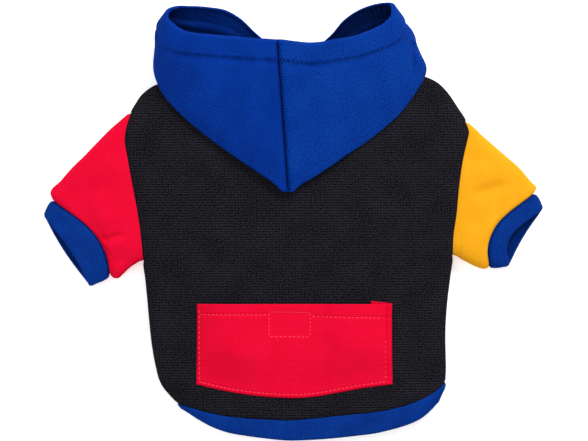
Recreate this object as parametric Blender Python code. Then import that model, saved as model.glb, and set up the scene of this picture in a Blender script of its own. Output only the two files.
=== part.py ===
"""A small dog's hoodie, laid flat with its back up and its hood folded down over the shoulders.

Metres. +Z is up, +Y runs to the head end, -Y to the hem, and +X is the right of someone who looks down on it.
Each cloth piece is one sheet, drawn as its outer face and given its thickness inwards by a Solidify modifier.
The garment is first drawn round its own centre line, with the left neck point at Y = 0.
"""

import math

import bpy
from mathutils import Vector
from mathutils.bvhtree import BVHTree

# Cloth
FLEECE = 0.0020
SLEEVE_CLOTH = 0.0018
RIB_CLOTH = 0.0020
HOOD_CLOTH = 0.0018
HOOD_HEM_CLOTH = 0.0034
POCKET_CLOTH = 0.0012
SEAM_GAP = 0.0006
CUFF_GAP = 0.0009
HEM_GAP = 0.0010

# Body, measured on the garment as it lies
BODY_WIDTH = 0.222
BODY_RISE = 0.026
SIDE_SEAM_RISE = 0.011
SHOULDER_DROP = 0.0245
ARMHOLE_LENGTH = 0.1095
SIDE_SEAM_LENGTH = 0.1045
HEM_DROP = 0.0187
BELLY_HEM_LIFT = 0.009
NAPE_SCOOP = 0.015
THROAT_SCOOP = 0.022
LIE_SKEW = 0.010
HEM_BAND_LENGTH = 0.0147
HEM_BAND_SQUEEZE = 0.050
BELLY_TURN_UP = 0.016
EDGE_LIP = 0.0012
EDGE_FADE = 0.007
LIP_OPENING = 1.5
SLEEVE_SPREAD = 0.4
BACK_ARCH = 0.05
BACK_FALL = 0.06
BACK_ROUNDNESS = 0.42
BACK_ROUNDNESS_BY_SLEEVES = 0.70
END_CURVE_POWER = 3
PULL_START = 0.3
PULL_END = 2.7
PULL_FADE = 1.0

# Sleeves and cuffs
ARMHOLE_RISE = 0.0160
SLEEVE_REACH = 0.058
CUFF_LENGTH = 0.015
CUFF_RISE = 0.0160
CUFF_LIFT = 0.0080
LOWER_BOW = 0.4

# Hood
HOOD_WIDTH = 0.200
HOOD_LENGTH = 0.0850
HOOD_RISE = 0.048
HOOD_HEM = 0.0150
HOOD_HEM_STEP = 0.0007
SEAM_LIP = 0.0014
NECK_ROLL = 0.0012
REST_GAP = 0.0005
HOOD_REST_GAP = 0.0010
NECK_ROLL_BEND = 0.4
RESTS_IF_DOUBLED = 0.3
SLOPE_REACH = 0.0020
FOLD_LIFT_POWER = 4

# Pocket
POCKET_WIDTH = 0.1440
POCKET_LENGTH = 0.0590
POCKET_CURVE = 0.0100
POCKET_RIGHT_RISE = 0.55  # share of the curve that its right half lacks
POCKET_PUFF = 0.0078
PUFF_ROUNDNESS = 0.8
PUFF_FADES_FROM = 0.46
POCKET_FROM_NECK = 0.1650
POCKET_SHIFT = -0.0014
FASTENER_WIDTH = 0.0300
FASTENER_LENGTH = 0.0190
FASTENER_THICKNESS = 0.0024
FASTENER_FROM_EDGE = 0.0050
FASTENER_MARGIN = 0.0040
TAB_WIDTH = 0.0160
TAB_STANDS_OUT = 0.0022

# Grid counts
BODY_COLUMNS = 20
EVEN_COLUMNS = 0.8
ARM_RING = 24
SHOULDER_ROWS = 4
SIDE_ROWS = 7
HEM_ROW_SHARES = (0.0, 0.08, 0.5, 1.0)
CUFF_ROWS = 3
POCKET_COLUMNS = 20
POCKET_ROWS = 9
PATCH_STEPS = 4
ROUND_END = 2.0 / 3.0

LEFT = -1
RIGHT = 1

# Edge of the body as it lies. Station: 0 neck, 1 armhole top, 2 underarm, 3 hem corner.
# left_out and right_out are shares of half BODY_WIDTH, right_lift is a share of LIE_SKEW.
BODY_EDGE = (
    # station, left_out, right_out, right_lift
    (0.00, 0.784, 0.757, 0.60),
    (0.18, 0.937, 0.919, 0.35),
    (0.35, 1.000, 0.991, 0.08),
    (0.65, 1.059, 1.045, 0.00),
    (1.00, 1.099, 1.126, -0.65),
    (1.11, 1.126, 1.142, -0.25),
    (1.20, 1.135, 1.126, -0.08),
    (1.30, 1.117, 1.105, 0.00),
    (1.50, 1.081, 1.076, 0.00),
    (1.70, 1.045, 1.057, 0.00),
    (1.88, 1.023, 1.036, 0.10),
    (2.00, 1.014, 1.036, 0.40),
    (2.27, 0.991, 1.009, 0.40),
    (2.56, 0.964, 0.991, 0.55),
    (2.77, 0.928, 0.993, 1.00),
    (2.90, 0.883, 0.995, 1.30),
    (3.00, 0.793, 0.991, 1.55),
)

# Curve of the back's hem seam: shares of the way across, and of HEM_DROP. Band is the width left of HEM_BAND_LENGTH.
HEM_CURVE = (
    # across, drop, band
    (0.00, 0.00, 0.42),
    (0.07, 0.26, 0.62),
    (0.16, 0.57, 0.82),
    (0.27, 0.78, 0.92),
    (0.45, 1.00, 1.02),
    (0.62, 0.96, 1.10),
    (0.74, 0.92, 1.10),
    (0.86, 0.75, 1.08),
    (0.94, 0.47, 1.08),
    (1.00, 0.00, 1.05),
)

# Sleeves, from the armhole to the cuff seam: shares of SLEEVE_REACH. outer is the fold at the top of the arm,
# under the fold below it, bow how far the upper layer's ring bends out between them, rise a share of ARMHOLE_RISE.
SLEEVE_SECTIONS = {
    LEFT: (
        # outer_out, outer_down, under_out, under_down, bow, rise, lift
        (0.000, 0.000, 0.000, 0.000, 0.000, 1.00, 1.00),
        (0.035, 0.000, 0.035, 0.000, 0.000, 1.00, 1.00),
        (0.160, 0.130, 0.110, 0.040, 0.000, 1.08, 1.00),
        (0.330, 0.285, 0.190, 0.100, -0.010, 1.14, 0.98),
        (0.520, 0.480, 0.260, 0.165, -0.030, 1.16, 0.95),
        (0.720, 0.680, 0.320, 0.215, -0.080, 1.14, 0.90),
        (0.880, 0.860, 0.370, 0.215, -0.140, 1.05, 0.84),
        (0.998, 1.080, 0.414, 0.190, -0.215, 1.00, 0.72),
    ),
    RIGHT: (
        (0.000, 0.000, 0.000, 0.000, 0.000, 1.00, 1.00),
        (0.035, 0.000, 0.035, 0.000, 0.000, 1.00, 1.00),
        (0.160, 0.140, 0.120, 0.050, 0.000, 1.08, 1.00),
        (0.340, 0.300, 0.210, 0.100, 0.000, 1.14, 0.98),
        (0.540, 0.470, 0.290, 0.140, -0.040, 1.16, 0.95),
        (0.710, 0.630, 0.360, 0.165, -0.100, 1.12, 0.90),
        (0.820, 0.770, 0.410, 0.165, -0.170, 1.05, 0.84),
        (0.880, 0.885, 0.455, 0.155, -0.235, 1.00, 0.72),
    ),
}

# Cuffs at their free edge: shares of CUFF_LENGTH.
CUFF_EDGE = {
    # outer_out, outer_down, under_out, under_down, upper_bow, lower_bow
    LEFT: (0.43, 0.80, 1.02, 0.52, -0.22, 0.16),
    RIGHT: (0.42, 0.80, 1.02, -0.08, -0.82, -0.12),
}

# Hood, from the nape round to the throat, a row for each line of cloth that runs from the neck to the face opening.
# neck: where it starts, 0 nape, 1 shoulder, 2 throat. fold_across and edge_across are shares of half HOOD_WIDTH,
# fold_back and edge_back shares of HOOD_LENGTH, measured from the neck points, fold_up and edge_up of HOOD_RISE.
# doubled: 1 where the cloth goes back along the body and returns over itself, 0 where it runs straight out.
HOOD_LINES = {
    LEFT: (
        # neck, fold_across, fold_back, fold_up, edge_across, edge_back, edge_up, doubled
        (0.00, 0.060, 0.985, 0.68, 0.140, -0.325, 0.97, 1.0),
        (0.22, 0.300, 0.795, 0.66, 0.290, -0.335, 0.97, 1.0),
        (0.42, 0.500, 0.635, 0.62, 0.450, -0.350, 0.95, 1.0),
        (0.60, 0.720, 0.440, 0.56, 0.620, -0.368, 0.92, 1.0),
        (0.78, 0.930, 0.200, 0.50, 0.780, -0.390, 0.88, 1.0),
        (0.94, 1.045, -0.040, 0.46, 0.880, -0.450, 0.83, 0.8),
        (1.08, 1.035, -0.330, 0.46, 0.945, -0.540, 0.76, 0.4),
        (1.22, 0.995, -0.510, 0.42, 0.900, -0.615, 0.66, 0.1),
        (1.38, 0.800, -0.450, 0.24, 0.760, -0.630, 0.50, 0.0),
        (1.54, 0.580, -0.350, 0.10, 0.560, -0.610, 0.36, 0.0),
        (1.70, 0.390, -0.230, 0.03, 0.400, -0.520, 0.22, 0.0),
        (1.86, 0.200, -0.120, 0.00, 0.210, -0.310, 0.06, 0.0),
        (2.00, 0.010, -0.050, 0.00, 0.030, -0.220, 0.01, 0.0),
    ),
    RIGHT: (
        (0.00, -0.060, 0.985, 0.68, -0.140, -0.325, 0.97, 1.0),
        (0.22, 0.150, 0.835, 0.66, 0.120, -0.298, 0.97, 1.0),
        (0.42, 0.370, 0.660, 0.62, 0.270, -0.325, 0.95, 1.0),
        (0.60, 0.590, 0.480, 0.56, 0.400, -0.350, 0.92, 1.0),
        (0.78, 0.800, 0.240, 0.50, 0.530, -0.405, 0.89, 1.0),
        (0.94, 0.955, -0.085, 0.46, 0.640, -0.470, 0.85, 0.7),
        (1.08, 0.890, -0.270, 0.44, 0.695, -0.550, 0.80, 0.3),
        (1.22, 0.795, -0.510, 0.42, 0.700, -0.640, 0.70, 0.1),
        (1.38, 0.720, -0.470, 0.26, 0.620, -0.655, 0.54, 0.0),
        (1.54, 0.530, -0.350, 0.10, 0.480, -0.610, 0.38, 0.0),
        (1.70, 0.360, -0.230, 0.03, 0.335, -0.500, 0.22, 0.0),
        (1.86, 0.180, -0.120, 0.00, 0.190, -0.310, 0.06, 0.0),
        (2.00, -0.010, -0.050, 0.00, -0.030, -0.220, 0.01, 0.0),
    ),
}
HOOD_LINES_A_ROW = 1.6
LOWER_SHARES = (0.02, 0.09, 0.28, 0.60)
HOOD_HEM_SHARES = (0.08, 0.55, 1.0)
UPPER_ROWS = 6
UPPER_ROW_SPREAD = 1.4
FOLD_TIGHTNESS = 0.42
CROWN_ROUNDNESS = 0.80

COLOURS = {
    # name: red, green, blue, roughness
    "fleece_black": (0.012, 0.012, 0.015, 0.95),
    "jersey_red": (0.78, 0.005, 0.035, 0.80),
    "jersey_yellow": (0.95, 0.42, 0.02, 0.80),
    "jersey_blue": (0.004, 0.035, 0.29, 0.85),
    "rib_blue": (0.004, 0.03, 0.25, 0.90),
    "hook_and_loop": (0.02, 0.02, 0.02, 0.95),
}


def mix(first, second, share):
    return first + (second - first) * share


def smooth(table, column, at):
    """The value of a table's column at a station, on a smooth curve through its rows."""
    stations = [row[0] for row in table]
    last = len(table) - 1
    i = max(0, min(last - 1, sum(1 for station in stations[1:] if station <= at)))
    x0, x1 = stations[i], stations[i + 1]
    y0, y1 = table[i][column], table[i + 1][column]
    slope = (y1 - y0) / (x1 - x0)
    before = (y0 - table[i - 1][column]) / (x0 - stations[i - 1]) if i > 0 else slope
    after = (table[i + 2][column] - y1) / (stations[i + 2] - x1) if i + 2 <= last else slope
    m0 = 0.0 if before * slope <= 0 else 2 * before * slope / (before + slope)
    m1 = 0.0 if after * slope <= 0 else 2 * after * slope / (after + slope)
    t = (at - x0) / (x1 - x0)
    span = x1 - x0
    return (
        y0 * (1 + 2 * t) * (1 - t) ** 2
        + y1 * t * t * (3 - 2 * t)
        + m0 * span * t * (1 - t) ** 2
        - m1 * span * t * t * (1 - t)
    )


def rounded(value):
    """Cosine or sine of a ring's angle, pressed towards a flat tube with round sides."""
    return math.copysign(abs(value) ** ROUND_END, value)


def make_material(name):
    red, green, blue, roughness = COLOURS[name]
    material = bpy.data.materials.new(name)
    material.use_nodes = True
    shader = material.node_tree.nodes["Principled BSDF"]
    shader.inputs["Base Color"].default_value = (red, green, blue, 1)
    shader.inputs["Roughness"].default_value = roughness
    shader.inputs["Metallic"].default_value = 0
    return material


def make_sheet(name, grid, thickness, material, closed=False, outward=True, hem_rows=0, hem_share=1.0):
    """A cloth sheet from rows of points on its outer face. closed joins each row's end to its start."""
    rows, columns = len(grid), len(grid[0])
    points = [tuple(point) for row in grid for point in row]
    faces = []
    for i in range(rows - 1):
        for j in range(columns if closed else columns - 1):
            k = (j + 1) % columns
            face = (i * columns + j, i * columns + k, (i + 1) * columns + k, (i + 1) * columns + j)
            faces.append(face if outward else face[::-1])
    mesh = bpy.data.meshes.new(name)
    mesh.from_pydata(points, [], faces)
    mesh.shade_smooth()
    sheet = bpy.data.objects.new(name, mesh)
    bpy.context.scene.collection.objects.link(sheet)
    sheet.data.materials.append(material)
    wall = sheet.modifiers.new("wall", "SOLIDIFY")
    wall.thickness = thickness
    wall.offset = -1
    if hem_rows:
        thick = sheet.vertex_groups.new(name="thick")
        for index in range(len(points)):
            share = 1.0 if index >= (rows - hem_rows) * columns else hem_share
            thick.add([index], share, "REPLACE")
        wall.vertex_group = "thick"
    return sheet


def down_from_neck(station):
    """How far below the left neck point a station of the body's edge lies."""
    lengths = (SHOULDER_DROP, ARMHOLE_LENGTH, SIDE_SEAM_LENGTH)
    whole = min(int(station), 2)
    return sum(lengths[:whole]) + lengths[whole] * (station - whole)


def edge_point(side, station):
    """X and Y of the body's edge, which is its side fold, or the armhole seam between stations 1 and 2."""
    out = smooth(BODY_EDGE, 1 if side == LEFT else 2, station) * BODY_WIDTH / 2
    lift = LIE_SKEW * smooth(BODY_EDGE, 3, station) if side == RIGHT else 0.0
    return side * out, lift - down_from_neck(station)


def armhole_station(angle):
    return 1 + (1 - rounded(math.cos(angle))) / 2


def body_rows():
    """Stations of the body's rows, with how far the armhole stands open there, from 0 to 1."""
    rows = [(i / SHOULDER_ROWS, 0.0) for i in range(SHOULDER_ROWS)]
    for i in range(ARM_RING // 2 + 1):
        angle = math.pi * i / (ARM_RING // 2)
        rows.append((armhole_station(angle), rounded(math.sin(angle)) if 0 < i < ARM_RING // 2 else 0.0))
    rows += [(2 + (i + 1) / SIDE_ROWS, 0.0) for i in range(SIDE_ROWS)]
    return rows


def ease(share):
    share = max(0.0, min(1.0, share))
    return share * share * (3 - 2 * share)


def sleeve_pull(station):
    """How much the sleeves spread the body at a station: 0 near the neck and hem, 1 beside the armhole's middle."""
    return ease((station - PULL_START) / PULL_FADE) * ease((PULL_END - station) / PULL_FADE)


def body_row(station, opening, upper):
    """One row of the body's outer face, from the left edge to the right one, with a narrow lip at each edge."""
    left = edge_point(LEFT, station)
    right = edge_point(RIGHT, station)
    down = station / 3
    near_neck = (1 - down) ** END_CURVE_POWER
    near_hem = down**END_CURVE_POWER
    pull = sleeve_pull(station)
    way = 1 if upper else -1
    open_lip = min(1.0, opening * LIP_OPENING)
    edge_z = SIDE_SEAM_RISE + way * (SEAM_GAP / 2 + opening * ARMHOLE_RISE / 2)
    lip_in = EDGE_LIP * open_lip
    lip_z = edge_z + way * EDGE_LIP * (1 - open_lip)
    broad_z = SIDE_SEAM_RISE + way * (EDGE_LIP + pull * ARMHOLE_RISE * SLEEVE_SPREAD)
    top_z = BODY_RISE * (1 - BACK_ARCH * (1 - math.sin(math.pi * down)) - BACK_FALL * near_hem)
    inner_left = left[0] + lip_in
    inner_right = right[0] - lip_in
    inner_columns = BODY_COLUMNS - 2
    row = [Vector((left[0], left[1], edge_z))]
    for j in range(inner_columns + 1):
        u = j / inner_columns
        across = mix((1 - math.cos(math.pi * u)) / 2, u, pull * EVEN_COLUMNS)
        x = mix(inner_left, inner_right, across)
        y = mix(left[1], right[1], across)
        bow = math.sin(math.pi * across)
        from_edge = max(0.0, min(x - inner_left, inner_right - x))
        near_edge = math.exp(-from_edge / EDGE_FADE)
        if upper:
            y -= NAPE_SCOOP * bow * near_neck + HEM_DROP * smooth(HEM_CURVE, 1, across) * near_hem
            round_share = 4 * across * (1 - across)
            roundness = mix(BACK_ROUNDNESS, BACK_ROUNDNESS_BY_SLEEVES, pull)
            z = mix(broad_z, top_z, round_share**roundness) + (lip_z - broad_z) * near_edge
        else:
            y += BELLY_HEM_LIFT * bow * near_hem - THROAT_SCOOP * bow * near_neck
            left_over = 1 - min(1.0, from_edge / BELLY_TURN_UP)
            round_turn = 1 - math.sqrt(1 - left_over**2)
            z = lip_z * mix(round_turn, left_over**2, pull)
        row.append(Vector((x, y, z)))
    row.append(Vector((right[0], right[1], edge_z)))
    return row


def make_body(material):
    rows = body_rows()
    back = [body_row(station, opening, True) for station, opening in rows]
    chest = [body_row(station, opening, False) for station, opening in rows]
    make_sheet("back_panel", back, FLEECE, material, outward=False)
    make_sheet("chest_panel", chest, FLEECE, material)
    return back, chest


def make_hem_band(back, chest, material):
    """The rib band: a ring that starts at the body's last row and is drawn in towards its free edge."""
    ring = back[-1] + chest[-1][::-1]
    left, right = back[-1][0].x, back[-1][-1].x
    grid = []
    for share in HEM_ROW_SHARES:
        row = []
        for point in ring:
            across = (point.x - left) / (right - left)
            width = HEM_BAND_LENGTH * smooth(HEM_CURVE, 2, across)
            x = point.x * (1 - HEM_BAND_SQUEEZE * ease(share))
            row.append(Vector((x, point.y - HEM_GAP - width * share, point.z)))
        grid.append(row)
    return make_sheet("hem_band", grid, RIB_CLOTH, material, closed=True, outward=False)


def ring_point(side, root, section, bows, angle, centre_z, rise):
    """A point of a sleeve's section: the armhole seam moved out and down, flattest between its two folds."""
    outer_out, outer_down, under_out, under_down = section
    to_under = (1 - rounded(math.cos(angle))) / 2
    height = rounded(math.sin(angle))
    out = mix(outer_out, under_out, to_under)
    down = mix(outer_down, under_down, to_under)
    bow = bows[0] if height > 0 else bows[1]
    return Vector(
        (
            root[0] + side * (out + bow * abs(height) * math.sin(math.pi * to_under)),
            root[1] - down,
            centre_z + height * rise / 2,
        )
    )


def sleeve_roots(side, angles, straight):
    """Where a ring starts from: straight 0 follows the armhole seam, 1 joins its ends by a straight line."""
    top, under = edge_point(side, 1.0), edge_point(side, 2.0)
    roots = []
    for angle in angles:
        station = armhole_station(angle)
        x, y = edge_point(side, station)
        x = mix(x, mix(top[0], under[0], station - 1), straight)
        y = mix(y, mix(top[1], under[1], station - 1), straight)
        roots.append((x + side * SEAM_GAP, y))
    return roots


def make_sleeve(side, names, sleeve_material, cuff_material):
    """A sleeve and its cuff, which share the cuff seam's ring."""
    angles = [2 * math.pi * j / ARM_RING for j in range(ARM_RING)]
    grid = []
    for outer_out, outer_down, under_out, under_down, bow, rise, lift in SLEEVE_SECTIONS[side]:
        section = [share * SLEEVE_REACH for share in (outer_out, outer_down, under_out, under_down)]
        bows = (bow * SLEEVE_REACH, bow * SLEEVE_REACH * LOWER_BOW)
        centre = max(SIDE_SEAM_RISE * lift, ARMHOLE_RISE * rise / 2)
        roots = sleeve_roots(side, angles, ease(outer_out / SLEEVE_SECTIONS[side][-1][0]))
        grid.append(
            [
                ring_point(side, root, section, bows, angle, centre, ARMHOLE_RISE * rise)
                for root, angle in zip(roots, angles)
            ]
        )
    edge = CUFF_EDGE[side]
    last = SLEEVE_SECTIONS[side][-1]
    start = [share * SLEEVE_REACH for share in last[:4]]
    end = [first + share * CUFF_LENGTH for first, share in zip(start, edge[:4])]
    seam_bows = (last[4] * SLEEVE_REACH, last[4] * SLEEVE_REACH * LOWER_BOW)
    free_bows = (edge[4] * CUFF_LENGTH, edge[5] * CUFF_LENGTH)
    chord = grid[-1][ARM_RING // 2] - grid[-1][0]
    way = Vector((side * abs(chord.y), -abs(chord.x), 0)).normalized()
    seam = grid[-1]
    grid.insert(-1, [point - way * EDGE_LIP for point in seam])
    cuff = [[point + way * step for point in seam] for step in (CUFF_GAP, CUFF_GAP + EDGE_LIP)]
    for i in range(CUFF_ROWS):
        share = (i + 1) / CUFF_ROWS
        section = [mix(a, b, share) for a, b in zip(start, end)]
        bows = [mix(a, b, share) for a, b in zip(seam_bows, free_bows)]
        cuff.append(
            [ring_point(side, root, section, bows, angle, CUFF_LIFT, CUFF_RISE) for root, angle in zip(roots, angles)]
        )
    make_sheet(names[0], grid, SLEEVE_CLOTH, sleeve_material, closed=True, outward=side == RIGHT)
    make_sheet(names[1], cuff, RIB_CLOTH, cuff_material, closed=True, outward=side == RIGHT)


def height_over(surface, x, y, otherwise=0.0):
    """Height of a cloth's outer face under a point, seen from above."""
    hit = surface.ray_cast(Vector((x, y, 1)), Vector((0, 0, -1)))
    return hit[0].z if hit[0] is not None else otherwise


def surface_of(grid):
    columns = len(grid[0])
    points = [point for row in grid for point in row]
    faces = [
        (i * columns + j, i * columns + j + 1, (i + 1) * columns + j + 1, (i + 1) * columns + j)
        for i in range(len(grid) - 1)
        for j in range(columns - 1)
    ]
    return BVHTree.FromPolygons(points, faces)


def neck_point(side, at, back, chest):
    """A point on the neck seam: 0 at the nape, 1 at the shoulder, 2 at the throat."""
    row = back[0] if at <= 1 else chest[0]
    share = at if at <= 1 else 2 - at
    place = (1 + side * share) / 2 * BODY_COLUMNS
    j = min(int(place), BODY_COLUMNS - 1)
    return row[j].lerp(row[j + 1], place - j)


def hood_path(side, at, back, chest, surface):
    """One line of the hood's outer face, from the neck seam to the face opening."""
    table = HOOD_LINES[side]
    columns = [smooth(table, column, at) for column in range(1, 8)]
    fold_across, fold_back, fold_up, edge_across, edge_back, edge_up, doubled = columns
    half = HOOD_WIDTH / 2
    base = neck_point(side, at, back, chest)
    fold = Vector((side * fold_across * half, -fold_back * HOOD_LENGTH, fold_up * HOOD_RISE))
    edge = Vector((side * edge_across * half, -edge_back * HOOD_LENGTH, edge_up * HOOD_RISE))

    start = base + Vector((0, SEAM_GAP, 0))
    turn = start + Vector((0, NECK_ROLL, NECK_ROLL * NECK_ROLL_BEND * doubled))
    rolled = Vector((0, -NECK_ROLL * NECK_ROLL_BEND, NECK_ROLL))
    low = turn + Vector((0, NECK_ROLL, 0)).lerp(rolled, doubled)
    points = [start, turn, low]
    for q in LOWER_SHARES:
        along = math.sin(q * math.pi / 2) ** FOLD_TIGHTNESS
        bent = Vector((mix(low.x, fold.x, along), mix(low.y, fold.y, along), mix(low.z, fold.z, q**FOLD_LIFT_POWER)))
        point = low.lerp(fold, q).lerp(bent, doubled)
        if doubled > RESTS_IF_DOUBLED:
            bare = point.z - HOOD_REST_GAP
            spots = (point.x - SLOPE_REACH, point.x, point.x + SLOPE_REACH)
            rest = max(height_over(surface, x, point.y, bare) for x in spots) + HOOD_REST_GAP
            point.z = max(rest, mix(point.z, rest, doubled * (1 - q**FOLD_LIFT_POWER)))
        points.append(point)
    if doubled > RESTS_IF_DOUBLED:
        over_body = height_over(surface, fold.x, fold.y, 0.0) + HOOD_REST_GAP + HOOD_CLOTH
        fold.z = max(fold.z, over_body)
    points.append(fold)
    crown_end = 1 - HOOD_HEM / max((edge - fold).length, 2 * HOOD_HEM)
    hem_shares = [mix(crown_end, 1, share) for share in HOOD_HEM_SHARES]
    for q in [((i + 1) / UPPER_ROWS) ** UPPER_ROW_SPREAD * crown_end for i in range(UPPER_ROWS)] + hem_shares:
        rise = math.sin(q * math.pi / 2) ** CROWN_ROUNDNESS
        bent = Vector((mix(fold.x, edge.x, q), mix(fold.y, edge.y, q), mix(fold.z, edge.z, rise)))
        points.append(fold.lerp(edge, q).lerp(bent, doubled))
    return points


def raise_rows(grid, first_row, step, outward):
    """Moves the rows from first_row on outwards by a step, square to the sheet."""
    last_row, last_column = len(grid) - 1, len(grid[0]) - 1
    moved = []
    for i in range(first_row, last_row + 1):
        row = []
        for j, point in enumerate(grid[i]):
            along = grid[min(i + 1, last_row)][j] - grid[i - 1][j]
            across = grid[i][min(j + 1, last_column)] - grid[i][max(j - 1, 0)]
            normal = across.cross(along).normalized() * (1 if outward else -1)
            row.append(point + normal * step)
            row[-1].z = max(row[-1].z, 0.0)
        moved.append(row)
    grid[first_row:] = moved


def make_hood(side, name, back, chest, surface, material):
    steps = round((len(HOOD_LINES[side]) - 1) * HOOD_LINES_A_ROW)
    paths = []
    for j in range(steps + 1):
        path = hood_path(side, 2 * j / steps, back, chest, surface)
        if 0 < j < steps:
            paths.append(path)
            continue
        seam = [point + Vector((side * SEAM_GAP / 2, 0, 0)) for point in path]
        beside = [point + Vector((side * (SEAM_GAP / 2 + SEAM_LIP), 0, 0)) for point in path]
        paths += [seam, beside] if j == 0 else [beside, seam]
    grid = [[path[i] for path in paths] for i in range(len(paths[0]))]
    hem_rows = len(HOOD_HEM_SHARES)
    raise_rows(grid, len(grid) - hem_rows, HOOD_HEM_STEP, side == RIGHT)
    return make_sheet(
        name,
        grid,
        HOOD_HEM_CLOTH,
        material,
        outward=side == RIGHT,
        hem_rows=hem_rows,
        hem_share=HOOD_CLOTH / HOOD_HEM_CLOTH,
    )


def pocket_puff(u, share):
    """How far the pocket's cloth stands off its seat: sewn down at its sides and bottom, held by the fastener."""
    held = (FASTENER_WIDTH / 2 + FASTENER_MARGIN) / (POCKET_WIDTH / 2)
    seat = FASTENER_THICKNESS + REST_GAP
    side_share = (abs(u) - held) / (1 - held)
    if side_share <= 0:
        puff = seat
    else:
        puff = mix(seat * (1 - ease(side_share)), POCKET_PUFF, math.sin(math.pi * side_share) ** PUFF_ROUNDNESS)
    return puff * (1 - ease((share - PUFF_FADES_FROM) / (1 - PUFF_FADES_FROM)))


def make_pocket(surface, cloth, fastener_material):
    """The patch pocket, sewn down on three sides, with the fastener under the middle of its open top edge."""
    top = -POCKET_FROM_NECK
    grid = []
    for i in range(POCKET_ROWS + 1):
        share = i / POCKET_ROWS
        row = []
        for j in range(POCKET_COLUMNS + 1):
            u = 2 * j / POCKET_COLUMNS - 1
            x = POCKET_SHIFT + u * POCKET_WIDTH / 2
            curve = POCKET_CURVE * (1 - u * u) * (1 - POCKET_RIGHT_RISE * ease(u))
            y = top - share * (POCKET_LENGTH + curve)
            z = height_over(surface, x, y) + REST_GAP + POCKET_CLOTH + max(0.0, pocket_puff(u, share))
            row.append(Vector((x, y, z)))
        grid.append(row)
    make_sheet("pocket", grid, POCKET_CLOTH, cloth, outward=False)

    fastener = patch(
        surface,
        (POCKET_SHIFT - FASTENER_WIDTH / 2, POCKET_SHIFT + FASTENER_WIDTH / 2),
        (top - FASTENER_FROM_EDGE, top - FASTENER_FROM_EDGE - FASTENER_LENGTH),
        REST_GAP + FASTENER_THICKNESS,
    )
    make_sheet("pocket_fastener", fastener, FASTENER_THICKNESS, fastener_material, outward=False)

    right = POCKET_SHIFT + POCKET_WIDTH / 2
    tab = patch(
        surface, (right - TAB_WIDTH, right), (top + SEAM_GAP + TAB_STANDS_OUT, top + SEAM_GAP), REST_GAP + POCKET_CLOTH
    )
    make_sheet("pocket_tab", tab, POCKET_CLOTH, cloth, outward=False)


def patch(surface, across, down, rise):
    """A small level-edged piece that follows the cloth under it, its outer face a rise above."""
    rows = []
    for i in range(PATCH_STEPS + 1):
        y = mix(down[0], down[1], i / PATCH_STEPS)
        row = []
        for j in range(PATCH_STEPS + 1):
            x = mix(across[0], across[1], j / PATCH_STEPS)
            row.append(Vector((x, y, height_over(surface, x, y) + rise)))
        rows.append(row)
    return rows


def centre_on_floor():
    """Moves the whole garment so that its box stands centred on the origin, with its lowest point at Z = 0."""
    bpy.context.view_layer.update()
    depsgraph = bpy.context.evaluated_depsgraph_get()
    corners = []
    for piece in bpy.context.scene.objects:
        mesh = piece.evaluated_get(depsgraph).to_mesh()
        corners += [vertex.co.copy() for vertex in mesh.vertices]
    low = Vector([min(corner[axis] for corner in corners) for axis in range(3)])
    high = Vector([max(corner[axis] for corner in corners) for axis in range(3)])
    shift = Vector((-(low.x + high.x) / 2, -(low.y + high.y) / 2, -low.z))
    for piece in bpy.context.scene.objects:
        for vertex in piece.data.vertices:
            vertex.co += shift
    print("centred by", shift, "size", high - low)


def main():
    for leftover in list(bpy.data.objects):
        bpy.data.objects.remove(leftover)
    materials = {name: make_material(name) for name in COLOURS}
    back, chest = make_body(materials["fleece_black"])
    surface = surface_of(back)
    make_hem_band(back, chest, materials["rib_blue"])
    make_sleeve(LEFT, ("sleeve_left", "cuff_left"), materials["jersey_red"], materials["rib_blue"])
    make_sleeve(RIGHT, ("sleeve_right", "cuff_right"), materials["jersey_yellow"], materials["rib_blue"])
    make_hood(LEFT, "hood_left", back, chest, surface, materials["jersey_blue"])
    make_hood(RIGHT, "hood_right", back, chest, surface, materials["jersey_blue"])
    make_pocket(surface, materials["jersey_red"], materials["hook_and_loop"])
    centre_on_floor()


main()
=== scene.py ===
# %% [markdown]
# # A small dog's hoodie, laid flat
#
# The hoodie lies chest down on a white surface, seen from straight above. Its hood is folded down over the
# shoulders. Black fleece makes the body, blue jersey the hood, red and yellow jersey the sleeves, blue rib
# the cuffs and the band round the hem, and a red patch pocket sits on the lower back. Each cloth piece is
# built here in three steps: a coarse net of points that gives its shape, a smooth fine net through those
# points, and small moves of the fine net for seams, hems, ribs and folds.

import math

import bmesh
import bpy
import numpy as np
from mathutils import Matrix, Vector, noise
from mathutils.bvhtree import BVHTree


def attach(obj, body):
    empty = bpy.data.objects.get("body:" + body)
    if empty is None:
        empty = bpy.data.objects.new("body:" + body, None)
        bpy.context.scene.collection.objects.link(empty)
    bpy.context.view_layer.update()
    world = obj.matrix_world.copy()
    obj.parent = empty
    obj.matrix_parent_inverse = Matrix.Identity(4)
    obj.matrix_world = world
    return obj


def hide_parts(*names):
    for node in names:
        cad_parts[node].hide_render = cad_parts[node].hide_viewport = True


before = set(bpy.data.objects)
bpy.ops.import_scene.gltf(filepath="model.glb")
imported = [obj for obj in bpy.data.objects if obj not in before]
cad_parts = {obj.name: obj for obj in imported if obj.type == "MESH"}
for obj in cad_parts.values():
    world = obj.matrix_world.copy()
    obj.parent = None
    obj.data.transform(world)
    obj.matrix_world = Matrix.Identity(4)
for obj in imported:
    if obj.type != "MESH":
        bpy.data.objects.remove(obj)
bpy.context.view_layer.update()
MM = 0.001
print("frame pieces:", sorted(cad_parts))

# %% [markdown]
# ## The floor, the camera and the lights
#
# A catalogue picture of flat clothes is taken from straight above on white, with large soft lights, so
# that no hard shadow hides the cloth. The floor glows a little for the same reason. A long lens from far
# away keeps the sides of the garment from leaning outwards.


# %% Lay the floor
def set_inputs(node, values):
    for socket, value in values.items():
        node.inputs[socket].default_value = value


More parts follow.
